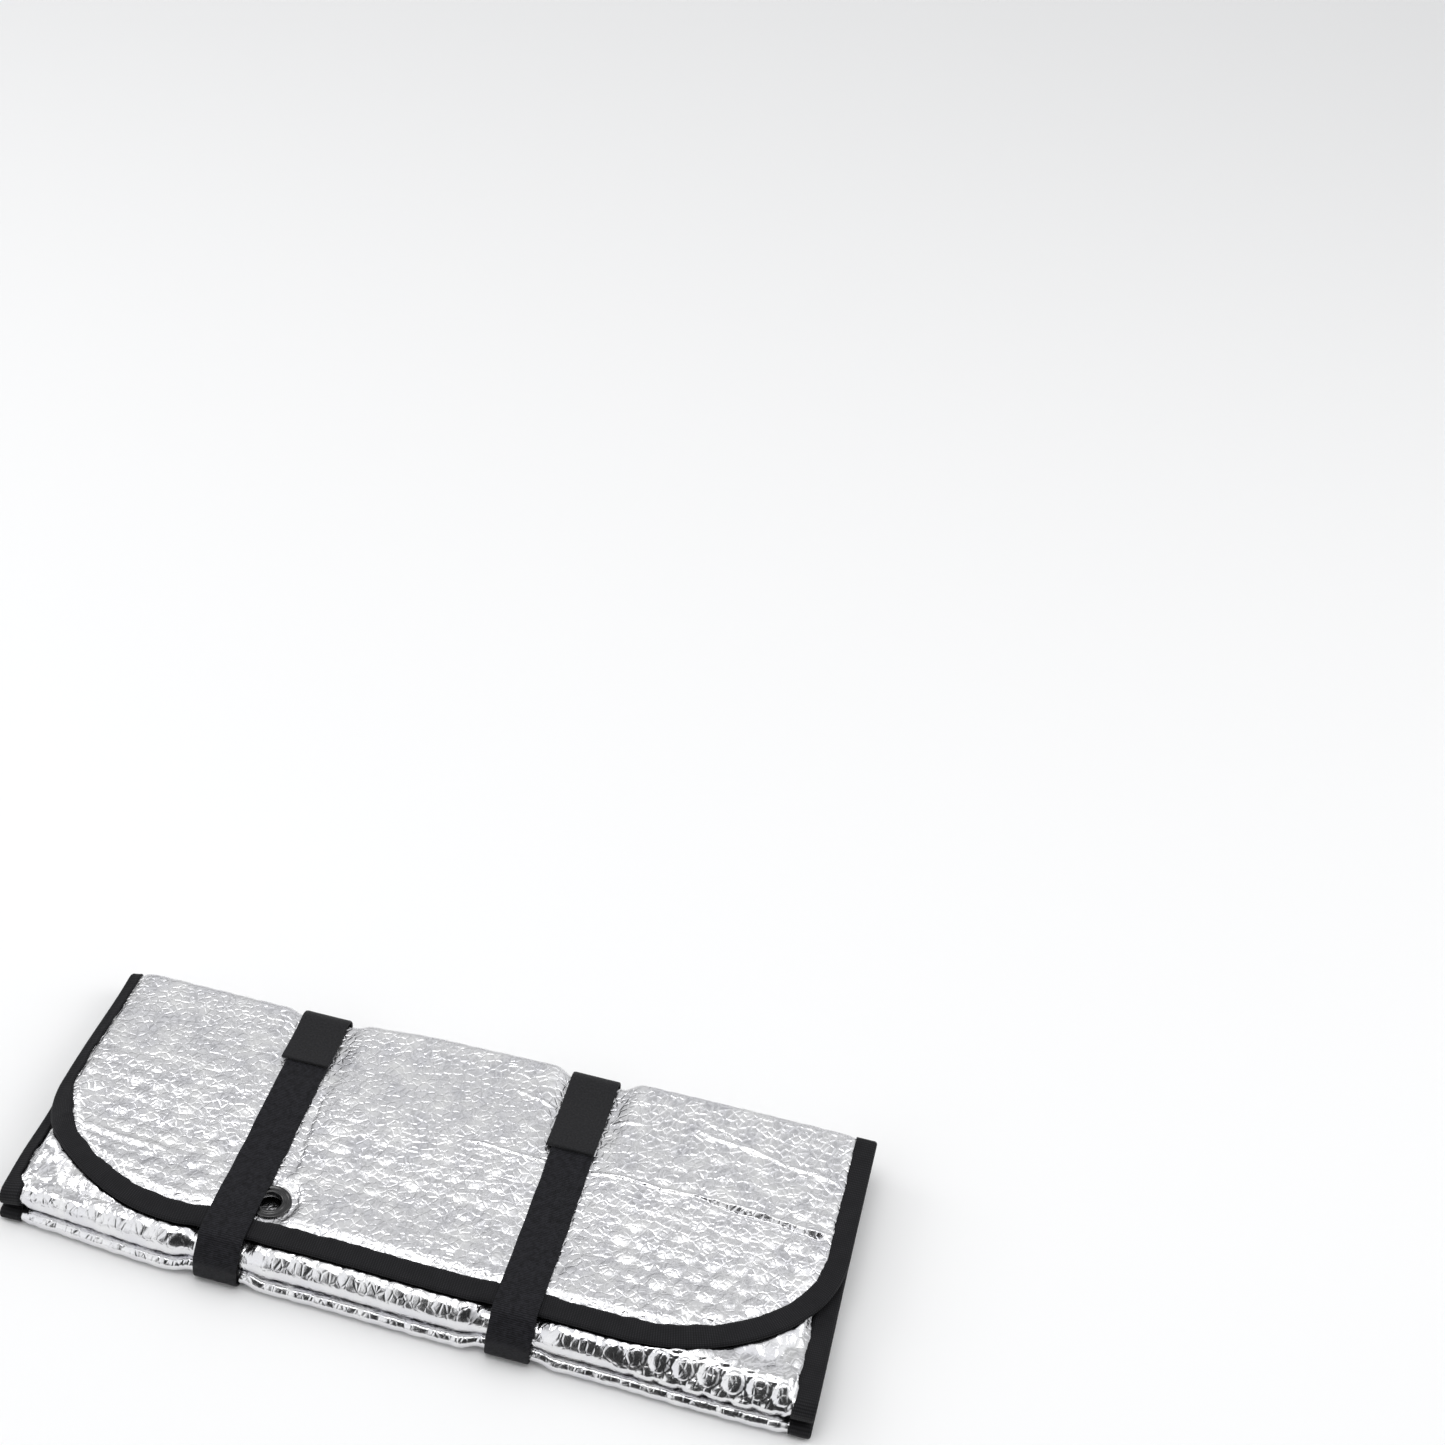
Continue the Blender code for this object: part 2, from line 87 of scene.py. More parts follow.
def layer_height(layer, y):
    """The height of a layer's middle at y, in the even stack."""
    _, back, middle, front = layer
    height = middle + (front - middle) * ease(y, -0.020, -0.066)
    height = height + (back - middle) * ease(y, 0.010, 0.076)
    if layer is layers[-1]:
        height = height - flap_edge_drop * ease(y, flap_edge_y + 0.012, flap_edge_y)
    return height


# The folded sheet's line, from the base's edge to the flap's, and the places along it where
# the layers start and stop, with the folds between them
line_y = []
line_z = []
turn_rows = []
line_ends = (base_edge_y, *fold_turns, flap_edge_y)
for index, layer in enumerate(layers):
    across = np.linspace(line_ends[index], line_ends[index + 1], 97)
    heights = layer_height(layer, across)
    turn_rows.append(len(line_y))
    line_y.extend(across)
    line_z.extend(heights)
    turn_rows.append(len(line_y) - 1)
    if index < len(fold_turns):
        above = layer_height(layers[index + 1], across[-1:])[0]
        radius = 0.5 * (above - heights[-1])
        angles = np.linspace(0.0, math.pi, 43)[1:-1]
        outward = 1.0 if index % 2 else -1.0
        line_y.extend(across[-1] + outward * radius * np.sin(angles))
        line_z.extend(heights[-1] + radius * (1.0 - np.cos(angles)))
line_y = np.array(line_y)
line_z = np.array(line_z)
line_place = np.concatenate(([0.0], np.cumsum(np.hypot(np.diff(line_y), np.diff(line_z)))))
sheet_length = line_place[-1]
turn_places = [line_place[row] for row in turn_rows]
lower_fold = turn_places[1:3]
upper_fold = turn_places[5:7]
back_fold = turn_places[7:9]


def straight_on(values, reach=0.010):
    """The line's values, carried straight on past both of its ends."""
    before = values[0] - (values[1] - values[0]) * reach / (line_place[1] - line_place[0])
    after = values[-1] + (values[-1] - values[-2]) * reach / (line_place[-1] - line_place[-2])
    return np.concatenate(([before], values, [after]))


far_place = straight_on(line_place)
far_y = straight_on(line_y)
far_z = straight_on(line_z)


def settle(x, y, z):
    """Where a point of the even stack comes to lie: pressed in under the straps, puffed between
    them, and leaning, drooping and shifting towards the ends as the real bundle does."""
    side = x / sheet_half_width
    pull = np.zeros_like(x)
    for _, strap_x, _ in strap_places:
        pull = np.maximum(pull, 1.0 - ease(np.abs(x - strap_x), 0.0155, 0.0270))
    free = 1.0 - pull
    upper = ease(z, 0.010, 0.024)
    lower = 1.0 - ease(z, 0.004, 0.020)
    front = ease(y, -0.030, -0.070)
    back = ease(y, 0.030, 0.070)
    lean = 0.09 * side * ease(y, -0.030, 0.080) * np.maximum(z - layers[0][1], 0.0)
    puff = 0.0010 * free * upper * (1.0 - back) * np.cos(2.2 * side) ** 2
    droop = 0.20 * ease(x, -0.208, -0.226) * np.maximum(z - layers[0][1], 0.0)
    shift = (0.0035 * ease(x, -0.090, -0.030) - 0.0015) * ease(y, 0.020, 0.086)
    swell = free * upper * ease(x, -0.110, 0.160) * ease(y, 0.045, 0.084)
    spread = (0.0013 + 0.0007 * ease(y, 0.030, -0.090)) * ease(x, 0.100, 0.224)
    spread -= 0.0020 * ease(x, -0.100, -0.224) * ease(y, 0.090, -0.010)
    tuck = 0.0040 * ease(x, -0.120, -0.224) * front
    slack = 0.0012 * free * front * (0.5 + 0.5 * np.sin(9.0 * side + 0.6))
    press = (0.0012 + 0.0014 * back) * upper - 0.0018 * lower
    new_y = y + 0.0012 * pull * (front - back) + shift + tuck - slack + 0.0034 * swell
    height = z + lean + puff - droop - press * pull + 0.0014 * swell
    return np.column_stack((x + spread, new_y, height)) + frame_shift


def flap_place(y):
    """How far along the sheet a y on the flap lies."""
    return sheet_length - (y - flap_edge_y)


def cloth_middle(x, place):
    """The middle of the folded sheet at x and at a place along it, seated flat in the eyelet."""
    y = np.interp(place, far_place, far_y)
    z = np.interp(place, far_place, far_z)
    points = settle(x, y, z)
    near = 1.0 - ease(np.hypot(x - eyelet_x, y - eyelet_y), eyelet_seat_radius, 0.0300)
    near = near * ease(z, layers[2][3], layers[3][2])
    points[:, 2] -= 0.0014 * np.where(place < back_fold[1], near, 0.0)
    along = flap_place(eyelet_y) - place
    flat = 1.0 - ease(np.hypot(x - eyelet_x, along), eyelet_seat_radius, 0.0195)
    seat = np.column_stack((x, eyelet_y + along, eyelet_height + eyelet_slope * along))
    return points + (seat + frame_shift - points) * flat[:, None]


def cloth_normal(x, place, reach=0.0004):
    """The direction square to the sheet there, which points down in the flap."""
    across = cloth_middle(x + reach, place) - cloth_middle(x - reach, place)
    along = cloth_middle(x, place + reach) - cloth_middle(x, place - reach)
    square = np.cross(across, along)
    return square / np.linalg.norm(square, axis=1)[:, None]


def edge_inset(x, place):
    """How far in from the sheet's edge a point lies; outside it, less than 0."""
    side = sheet_half_width - np.abs(x)
    end = np.minimum(place, sheet_length - place)
    wide = np.where(x < 0.0, left_corner[0], right_corner[0])
    long = np.where(x < 0.0, left_corner[1], right_corner[1])
    u = np.maximum(wide - side, 0.0) / wide
    v = np.maximum(long - end, 0.0) / long
    reach = np.hypot(u, v)
    slope = np.maximum(np.hypot(u / wide, v / long), 1e-9)
    round_inset = reach * (1.0 - reach) / slope
    in_corner = (u > 0.0) & (v > 0.0)
    return np.where(in_corner, round_inset, np.minimum(side, end))


def noise_at(x, place, scale, lane=0.0):
    """Smooth noise at each point, in as many patterns as there are lanes."""
    spots = zip((x * scale).tolist(), (place * scale).tolist())
    return np.array([noise.noise((a, b, lane)) for a, b in spots])


def tape_reach(x, place):
    """How far in from the edge the tape comes: less along the left side, where it curls under."""
    end = np.minimum(place, sheet_length - place)
    curled = ease(-x, 0.0, 0.020) * ease(end, 0.050, 0.080)
    for start, stop in (lower_fold, upper_fold):
        on_fold = ease(place, start - 0.008, start) * ease(place, stop + 0.008, stop)
        curled = curled * (1.0 - on_fold)
    return tape_width - 0.0054 * curled


bubble_pitch = 0.0131
bubble_radius = 0.0053
bubble_height = 0.0011
bubble_row = bubble_pitch * math.sqrt(0.75)
first_bubble_x = 0.1416
first_bubble_place = upper_fold[0] + 0.0170


def bubbles(x, place, gutter, squared=0.0):
    """The bubbles' rise in their close pattern: domes, or squared to flat tops, each with a
    gutter round it where the film is drawn in."""
    row = np.floor((place - first_bubble_place) / bubble_row)
    relief = np.zeros_like(x)
    drawn_in = np.zeros_like(x)
    for step in (0, 1):
        at_row = row + step
        start = first_bubble_x + 0.5 * bubble_pitch * np.mod(at_row, 2)
        column = np.round((x - start) / bubble_pitch)
        away_x = x - start - column * bubble_pitch
        away_place = place - first_bubble_place - at_row * bubble_row
        reach = np.hypot(away_x, away_place) / bubble_radius
        fullness = 0.80 + 0.20 * np.sin(at_row * 12.9898 + column * 78.233)
        dome = np.clip(1.0 - reach ** (2.0 + 1.8 * squared), 0.0, 1.0) ** 0.62
        relief = np.maximum(relief, fullness * dome)
        drawn_in = np.maximum(drawn_in, fullness * np.exp(-(((reach - 1.10) / 0.12) ** 2)))
    return relief * bubble_height - gutter * drawn_in


def crinkles(x, place):
    """Sharp little folds that run every way, left in the film by folding and handling."""
    stray_x = noise_at(x, place, 45.0, 11.0) * 0.006
    stray_place = noise_at(x, place, 45.0, 15.0) * 0.006
    wide = 1.0 - 2.4 * np.abs(noise_at(x + stray_x, place + stray_place, 85.0, 7.0))
    small = 1.0 - 2.4 * np.abs(noise_at(x + stray_place, place + stray_x, 185.0, 3.0))
    loose = noise_at(x, place, 120.0, 5.0)
    return 0.00030 * np.maximum(wide, 0.0) + 0.00022 * np.maximum(small, 0.0) + 0.00020 * loose


def flap_rests(x, y, tape_room=0.0017):
    """How far the fourth layer puffs up against the flap's edge, falling away in front of it."""
    gap = layer_height(layers[-1], y) - layer_height(layers[-2], y)
    gap = gap - 0.5 * foil_thickness - 0.5 * bound_thickness - tape_room
    outside = -edge_inset(x, flap_place(y))
    under = gap * ease(outside, -0.020, -0.012)
    ahead = (gap + 0.0012) * (1.0 - np.clip((outside - 0.0022) / 0.0105, 0.0, 1.0))
    share = ease(outside, 0.0006, 0.0022)
    rise = np.where(outside < -0.020, 0.0, under * (1.0 - share) + ahead * share)
    for _, strap_x, _ in strap_places:
        rise = rise * ease(np.abs(x - strap_x), 0.0140, 0.0230)
    return rise


# The upper front fold's face at the right: flat where its row of bubbles faces up, with a low
# crown behind it. Each pair is a distance past the end of the fold, and the rise there
row_face = (
    (-0.01075, 0.0),
    (-0.00808, 0.00010),
    (-0.00684, -0.00075),
    (-0.00559, -0.00116),
    (-0.00440, -0.00172),
    (-0.00293, -0.00199),
    (-0.00147, -0.00186),
    (0.0, -0.00132),
    (0.0020, -0.00029),
    (0.0047, 0.00095),
    (0.0070, 0.00095),
    (0.0120, 0.00040),
    (0.0200, 0.0),
)


def faced(x, place):
    """The rise of that face and its crown, which both fade out to the left."""
    places, rises = zip(*row_face)
    along = place - upper_fold[1]
    crown = 0.0018 * ease(along, -0.0070, 0.0065) * ease(along, 0.0200, 0.0070)
    return np.interp(along, places, rises) * ease(x, 0.105, 0.145) + crown * ease(x, 0.148, 0.172)


# Creases of the flap: x and y of both ends, half width, height (a trough is less than 0)
flap_creases = (
    (0.0050, 0.0195, 0.0500, 0.0205, 0.0008, 0.0007),
    (0.0740, 0.0210, 0.1480, 0.0218, 0.0009, 0.0009),
    (0.1420, 0.0208, 0.2110, 0.0150, 0.0015, -0.0021),
    (0.1450, 0.0236, 0.2110, 0.0178, 0.0010, 0.0007),
    (0.0190, 0.0630, 0.0480, 0.0560, 0.0009, 0.0006),
    (0.0740, 0.0585, 0.0950, 0.0590, 0.0009, 0.0006),
    (0.1250, 0.0640, 0.2180, 0.0520, 0.0010, 0.0007),
    (-0.2000, -0.0330, -0.1500, -0.0370, 0.0018, 0.0008),
    (-0.2000, -0.0370, -0.1600, -0.0405, 0.0015, -0.0006),
    (-0.0852, 0.0240, -0.0805, -0.0290, 0.0016, -0.0012),
    (-0.0815, 0.0240, -0.0770, -0.0250, 0.0018, 0.0005),
    (0.0245, -0.0353, 0.0347, -0.0225, 0.0013, 0.0006),
    (0.0321, -0.0431, 0.0378, -0.0250, 0.0013, 0.0006),
    (0.0364, -0.0478, 0.0416, -0.0374, 0.0012, 0.0006),
    (0.1296, 0.0708, 0.1659, 0.0587, 0.0016, 0.0004),
    (0.1822, 0.0451, 0.2101, 0.0383, 0.0014, 0.0004),
    (0.1900, 0.0610, 0.2120, 0.0440, 0.0014, 0.0004),
    (-0.1500, -0.0250, -0.1270, -0.0350, 0.0014, 0.0004),
)


def creases(x, y):
    """The creases' rise, and how far each presses the bubbles beside it flat."""
    relief = np.zeros_like(x)
    pressed = np.zeros_like(x)
    for start_x, start_y, end_x, end_y, half, height in flap_creases:
        run_x, run_y = end_x - start_x, end_y - start_y
        length = math.hypot(run_x, run_y)
        along = ((x - start_x) * run_x + (y - start_y) * run_y) / length
        wander = 0.0006 * np.sin(along * 150.0 + start_x * 700.0)
        away = ((x - start_x) * run_y - (y - start_y) * run_x) / length - wander
        fade = ease(along, -0.004, 0.006) * ease(along, length + 0.004, length - 0.006)
        uneven = 0.80 + 0.20 * np.sin(along * 420.0 + start_y * 900.0)
        relief += height * fade * uneven * np.exp(-((away / half) ** 2))
        pressed = np.maximum(pressed, fade * np.exp(-((away / (half + 0.0020)) ** 2)))
    return relief, pressed


def foil_thick(x, place):
    """The sheet's thickness, and its share that neither the tape nor the eyelet squeezes out."""
    inset = edge_inset(x, place)
    from_eyelet = np.hypot(x - eyelet_x, flap_place(eyelet_y) - place)
    reach = tape_reach(x, place)
    full = ease(inset, reach, reach + taper_width - tape_width)
    full = full * ease(from_eyelet, eyelet_seat_radius, 0.0190)
    return bound_thickness + (foil_thickness - bound_thickness) * full, full


def flap_side_relief(x, place, y):
    """The film that shows on the flap: bubbles that are flatter at the back and between the
    straps, with crinkles over them, and the creases."""
    patchy = np.clip(0.90 + 1.1 * noise_at(x, place, 22.0, 21.0), 0.55, 1.20)
    between = ease(x, -0.125, -0.080) * ease(x, 0.110, 0.050)
    at_right = ease(x, 0.080, 0.130)
    fullness = 0.26 + 0.64 * ease(y, 0.070, -0.030) + 0.22 * at_right * ease(y, 0.075, 0.040)
    fullness = fullness * patchy * (1.0 - 0.35 * between)
    drawn = crinkles(x, place) * (0.26 + 0.50 * ease(y, 0.075, -0.030) - 0.14 * at_right)
    relief = (bubbles(x, place, 0.00015) - 0.35 * bubble_height) * fullness + drawn
    on_flap = ease(place, back_fold[1] - 0.002, back_fold[1] + 0.004)
    folds, pressed = creases(x, y)
    return relief * (1.0 - 0.70 * pressed * on_flap) + 1.25 * folds * on_flap


def front_side_relief(x, place, y):
    """The film that shows on the front folds: low bubbles, a row of full ones at the right of
    the upper fold, a smooth band along its middle, and the puff against the flap's edge."""
    top_start = upper_fold[1]
    on_fold = ease(place, upper_fold[0] - 0.006, upper_fold[0])
    on_top = ease(place, top_start - 0.004, top_start + 0.002)
    row_share = ease(x, 0.105, 0.145) * on_fold
    row_share = row_share * ease(place, top_start + 0.010, top_start + 0.004)
    mid_band = ease(place, top_start - 0.014, top_start - 0.010)
    mid_band = mid_band * ease(place, top_start + 0.001, top_start - 0.003)
    mid_band = mid_band * (1.0 - row_share) * ease(x, -0.125, -0.085)
    smooth = (1.0 - 0.70 * row_share) * (1.0 - 0.75 * mid_band)
    fullness = 0.32 + 0.40 * on_fold * on_top * (1.0 - row_share) + 0.80 * row_share
    fullness = fullness * (1.0 - 0.60 * mid_band)
    relief = bubbles(x, place, 0.0003, row_share) - 0.30 * bubble_height
    relief = relief * fullness + crinkles(x, place) * 0.45 * smooth + faced(x, place)
    puffed = flap_rests(x, y) * ease(place, top_start - 0.005, top_start + 0.001)
    under_flap = ease(-edge_inset(x, flap_place(y)), 0.002, -0.001)
    under_flap = under_flap * ease(place, top_start - 0.002, top_start + 0.002)
    return relief * (1.0 - 0.9 * under_flap) + puffed


def mapped_piece(name, spots, faces, map_name, flat_places):
    """A smooth mesh with each face corner's place in the flat piece as its map."""
    mesh = bpy.data.meshes.new(name)
    mesh.from_pydata(spots.tolist(), [], faces)
    flat_map = mesh.uv_layers.new(name=map_name)
    flat_map.data.foreach_set("uv", flat_places.astype(np.float32).ravel())
    mesh.shade_smooth()
    piece = bpy.data.objects.new(name, mesh)
    bpy.context.scene.collection.objects.link(piece)
    return piece


hidden_step = 0.0100
first_row = 0.0035
first_column = 0.0040
film_inset = 0.0045
film_hole_radius = 0.0085


def foil_skin(name, outward, relief_of, column_step, stretches):
    """One film of the sheet, finely divided in the stretches that show."""
    rows = []
    place = first_row
    while place < sheet_length - first_row:
        rows.append(place)
        steps = [step for start, stop, step in stretches if start < place < stop]
        place += min(steps, default=hidden_step)
    last_column = sheet_half_width - first_column
    columns = np.arange(-last_column, last_column, column_step)
    x, place = (grid.ravel() for grid in np.meshgrid(columns, np.array(rows)))
    thick, full = foil_thick(x, place)
    y = np.interp(place, far_place, far_y)
    shows = np.zeros_like(x)
    for start, stop, _ in stretches:
        inside = ease(place, start, start + 0.004)
        if stop < sheet_length:
            inside = inside * ease(place, stop, stop - 0.004)
        shows = np.maximum(shows, inside)
    under = np.zeros_like(x)
    for _, strap_x, _ in strap_places:
        under = np.maximum(under, ease(np.abs(x - strap_x), 0.0160, 0.0120))
    relief = relief_of(x, place, y) * (shows * full * (1.0 - under))
    relief = np.where(under * full > 0.5, np.minimum(relief, 0.0), relief)
    away = outward * (0.5 * thick + relief)
    spots = cloth_middle(x, place) + cloth_normal(x, place) * away[:, None]
    spots[:, 2] = np.maximum(spots[:, 2], 0.0)
    from_eyelet = np.hypot(x - eyelet_x, flap_place(eyelet_y) - place)
    keep = (edge_inset(x, place) > film_inset) & (from_eyelet > film_hole_radius)
    width = len(columns)
    keep = keep.reshape(len(rows), width)
    whole = keep[:-1, :-1] & keep[1:, :-1] & keep[:-1, 1:] & keep[1:, 1:]
    row, column = np.nonzero(whole)
    low = row * width + column
    faces = np.column_stack((low, low + 1, low + width + 1, low + width))
    if outward < 0.0:
        faces = faces[:, ::-1]
    used = np.unique(faces)
    renumber = np.zeros(len(x), int)
    renumber[used] = np.arange(len(used))
    faces = renumber[faces]
    flat = np.column_stack((x[used], place[used]))[faces.ravel()]
    return mapped_piece(name, spots[used], faces.tolist(), "flat", flat)


def new_finish(name, colour, roughness, metallic=0.0):
    """A material with its shader set to one even finish, for its nodes to vary."""
    material = bpy.data.materials.new(name)
    material.use_nodes = True
    shader = material.node_tree.nodes["Principled BSDF"]
    shader.inputs["Base Color"].default_value = (*colour, 1.0)
    shader.inputs["Roughness"].default_value = roughness
    shader.inputs["Metallic"].default_value = metallic
    return material, material.node_tree, shader


def add_node(tree, kind, sources=(), **settings):
    """A node with its settings, and its inputs set from numbers or joined to other nodes."""
    node = tree.nodes.new("ShaderNode" + kind)
    for key, value in settings.items():
        setattr(node, key, value)
    for key, value in dict(sources).items():
        if isinstance(value, bpy.types.NodeSocket):
            tree.links.new(value, node.inputs[key])
        else:
            node.inputs[key].default_value = value
    return node


def bump_from(tree, shader, height, distance, strength):
    """Relief too fine for the mesh."""
    bump = add_node(tree, "Bump", {"Height": height, "Distance": distance, "Strength": strength})
    tree.links.new(bump.outputs["Normal"], shader.inputs["Normal"])


def shine_from(tree, shader, amount, smoothest, roughest):
    """Roughness that goes from smoothest to roughest as an amount goes from 0.3 to 0.7."""
    shine = add_node(tree, "MapRange", {"Value": amount, "From Min": 0.3, "From Max": 0.7,
                                        "To Min": smoothest, "To Max": roughest})
    tree.links.new(shine.outputs["Result"], shader.inputs["Roughness"])


def tone_from(tree, shader, amount, dark, light):
    """Colour that goes from dark to light; each is an amount and the colour there."""
    tone = add_node(tree, "ValToRGB", {"Fac": amount})
    for step, (position, colour) in zip(tone.color_ramp.elements, (dark, light)):
        step.position = position
        step.color = (*colour, 1.0)
    tree.links.new(tone.outputs["Color"], shader.inputs["Base Color"])


def foil_finish(name, crease_depth, smoothest, roughest):
    """Bright aluminium film: hair creases, small facets, and patches rubbed duller."""
    finish, tree, shader = new_finish(name, (0.86, 0.865, 0.875), 0.26, 1.0)
    flat_place = add_node(tree, "UVMap", uv_map="flat").outputs["UV"]
    crinkle = add_node(tree, "TexNoise", {"Vector": flat_place, "Scale": 330.0, "Detail": 5.0,
                                          "Roughness": 0.6, "Distortion": 0.7})
    cells = add_node(tree, "TexVoronoi", {"Vector": flat_place, "Scale": 240.0},
                     feature="DISTANCE_TO_EDGE")
    cell_edge = add_node(tree, "MapRange", {"Value": cells.outputs["Distance"], "From Max": 0.18})
    height = add_node(tree, "Math", {0: crinkle.outputs["Fac"], 1: cell_edge.outputs["Result"]},
                      operation="ADD")
    bump_from(tree, shader, height.outputs[0], crease_depth, 0.8)
    patches = add_node(tree, "TexNoise", {"Vector": flat_place, "Scale": 70.0, "Detail": 3.0})
    shine_from(tree, shader, patches.outputs["Fac"], smoothest, roughest)
    dull, bright = (0.3, (0.73, 0.73, 0.76)), (0.7, (0.84, 0.84, 0.84))
    tone_from(tree, shader, patches.outputs["Fac"], dull, bright)
    return finish


# Each stretch that shows: where it starts and stops along the sheet, and the step of its rows
flap_side = foil_skin(
    "foil_flap_side",
    -1.0,
    flap_side_relief,
    0.0012,
    (
        (back_fold[0] - 0.005, sheet_length, 0.0012),
        (flap_place(0.0660), flap_place(0.0510), 0.0007),
        (flap_place(0.0260), flap_place(0.0110), 0.0005),
    ),
)
front_side = foil_skin(
    "foil_front_side",
    1.0,
    front_side_relief,
    0.0010,
    (
        (lower_fold[0] - 0.004, lower_fold[1] + 0.004, 0.0010),
        (upper_fold[0] - 0.006, upper_fold[1] + 0.012, 0.0007),
        (upper_fold[1] + 0.002, upper_fold[1] + 0.070, 0.0016),
    ),
)
flap_side.data.materials.append(foil_finish("crumpled_foil", 0.00026, 0.17, 0.36))
front_side.data.materials.append(foil_finish("drawn_foil", 0.00011, 0.12, 0.24))
for skin in (flap_side, front_side):
    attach(skin, "root")
    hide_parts("foil_sheet")

# The edge binding: one length of black woven tape, folded in half over the sheet's edge and
# sewn through with a row of stitches, so it puckers a little and its inner edge wavers where
# the bubbles push at it.
tape_gap = 0.0003
tape_thickness = 0.0007
tape_height = 0.5 * bound_thickness + tape_gap + 0.5 * tape_thickness
tape_lap_start = 0.0004
tape_lap = tape_width - 0.0007
tape_fold_bow = 0.0011
tape_step = 0.0013
stitch_pitch = 0.0070


def tape_stations():
    """Points round the sheet's edge with their inward directions, one tape step apart."""
    corners = (
        (1.0, 0.0, right_corner, 1.0),
        (1.0, sheet_length, right_corner, -1.0),
        (-1.0, sheet_length, left_corner, -1.0),
        (-1.0, 0.0, left_corner, 1.0),
    )
    stations = []
    for index, (side, end, (wide, long), into) in enumerate(corners):
        angles = np.linspace(0.0, 0.5 * math.pi, 90)
        if index % 2 == 0:
            angles = angles[::-1]
        x = side * (sheet_half_width - wide + wide * np.cos(angles))
        place = end + into * (long - long * np.sin(angles))
        in_x = -side * np.cos(angles) / wide
        in_place = into * np.sin(angles) / long
        length = np.hypot(in_x, in_place)
        stations.append(np.column_stack((x, place, in_x / length, in_place / length)))
    ring = []
    for index, corner in enumerate(stations):
        ring.append(corner)
        start, stop = corner[-1], stations[(index + 1) % 4][0]
        count = int(math.hypot(stop[0] - start[0], stop[1] - start[1]) / tape_step)
        shares = np.linspace(0.0, 1.0, count + 1)[1:-1, None]
        ring.append(start + (stop - start) * shares)
    return np.vstack(ring)


def tape_profile():
    """The tape's closed section as inset from the edge and rise from the sheet's middle, and
    each point's place across the tape laid flat."""
    centre = []
    for share in np.linspace(1.0, 0.0, 7):
        centre.append((tape_lap_start + share * tape_lap, tape_height))
    for angle in np.linspace(70.0, -70.0, 5):
        turn = math.radians(angle)
        bow = -tape_fold_bow * math.cos(turn) + 0.0001
        centre.append((bow, 0.95 * tape_height * math.sin(turn)))
    for share in np.linspace(0.0, 1.0, 7):
        centre.append((tape_lap_start + share * tape_lap, -tape_height))
    centre = np.array(centre)
    run = np.gradient(centre, axis=0)
    out = np.column_stack((run[:, 1], -run[:, 0]))
    out /= np.linalg.norm(out, axis=1)[:, None]
    half = 0.5 * tape_thickness
    inwards = np.array((0.005, 0.0)) - centre
    outer = centre - out * half * np.sign(np.sum(out * inwards, axis=1))[:, None]
    inner = centre + (centre - outer)
    along = np.concatenate(([0.0], np.cumsum(np.linalg.norm(np.diff(centre, axis=0), axis=1))))
    ring = np.vstack((outer, inner[::-1]))
    return ring, np.concatenate((along, along[::-1]))


def swept_piece(name, rings, across, along, closed):
    """A solid swept from rows of section points, mapped by its run and its section."""
    count, size, _ = rings.shape
    rows = np.arange(count if closed else count - 1)
    following = (rows + 1) % count
    faces = []
    corners_along = []
    for step in range(size):
        after = (step + 1) % size
        faces.append(np.column_stack((rows * size + step, rows * size + after,
                                      following * size + after, following * size + step)))
        ahead = np.where(following > rows, along[following], along[-1] + tape_step)
        corners_along.append(np.stack((
            np.column_stack((along[rows], np.full(len(rows), across[step]))),
            np.column_stack((along[rows], np.full(len(rows), across[after]))),
            np.column_stack((ahead, np.full(len(rows), across[after]))),
            np.column_stack((ahead, np.full(len(rows), across[step]))),
        ), axis=1))
    faces = np.vstack(faces)
    maps = np.vstack(corners_along).reshape(-1, 2)
    face_list = faces.tolist()
    if not closed:
        face_list.append(list(range(size))[::-1])
        face_list.append([(count - 1) * size + step for step in range(size)])
        maps = np.vstack((maps, np.zeros((2 * size, 2))))
    return mapped_piece(name, rings.reshape(-1, 3), face_list, "woven", maps)


# The inner edge wavers, and the faces pucker between the stitches
stations = tape_stations()
section, section_across = tape_profile()
steps = np.linalg.norm(np.diff(stations[:, :2], axis=0), axis=1)
tape_run = np.concatenate(([0.0], np.cumsum(steps)))
waver = noise_at(tape_run, np.zeros_like(tape_run), 85.0) * 0.0011
waver += noise_at(tape_run, np.ones_like(tape_run), 260.0) * 0.0005
pucker = 0.00010 * np.sin(tape_run * 2.0 * math.pi / stitch_pitch)
pucker += noise_at(tape_run, np.full_like(tape_run, 2.0), 150.0) * 0.00016
tape_rings = []
side_share = tape_reach(stations[:, 0], stations[:, 1]) / tape_width
for inset, rise in section:
    inwards = max(inset, 0.0) / tape_width
    reach = inset * (side_share if inset > 0.0 else 1.0) + waver * inwards**3
    x = stations[:, 0] + reach * stations[:, 2]
    place = stations[:, 1] + reach * stations[:, 3]
    lift = (rise + math.copysign(1.0, rise) * pucker * inwards)[:, None]
    ring = cloth_middle(x, place) + cloth_normal(x, place) * lift
    ring[:, 2] = np.maximum(ring[:, 2], 0.0)
    tape_rings.append(ring)
tape_rings = np.stack(tape_rings, axis=1)
binding = swept_piece("tape_binding", tape_rings, section_across, tape_run, True)

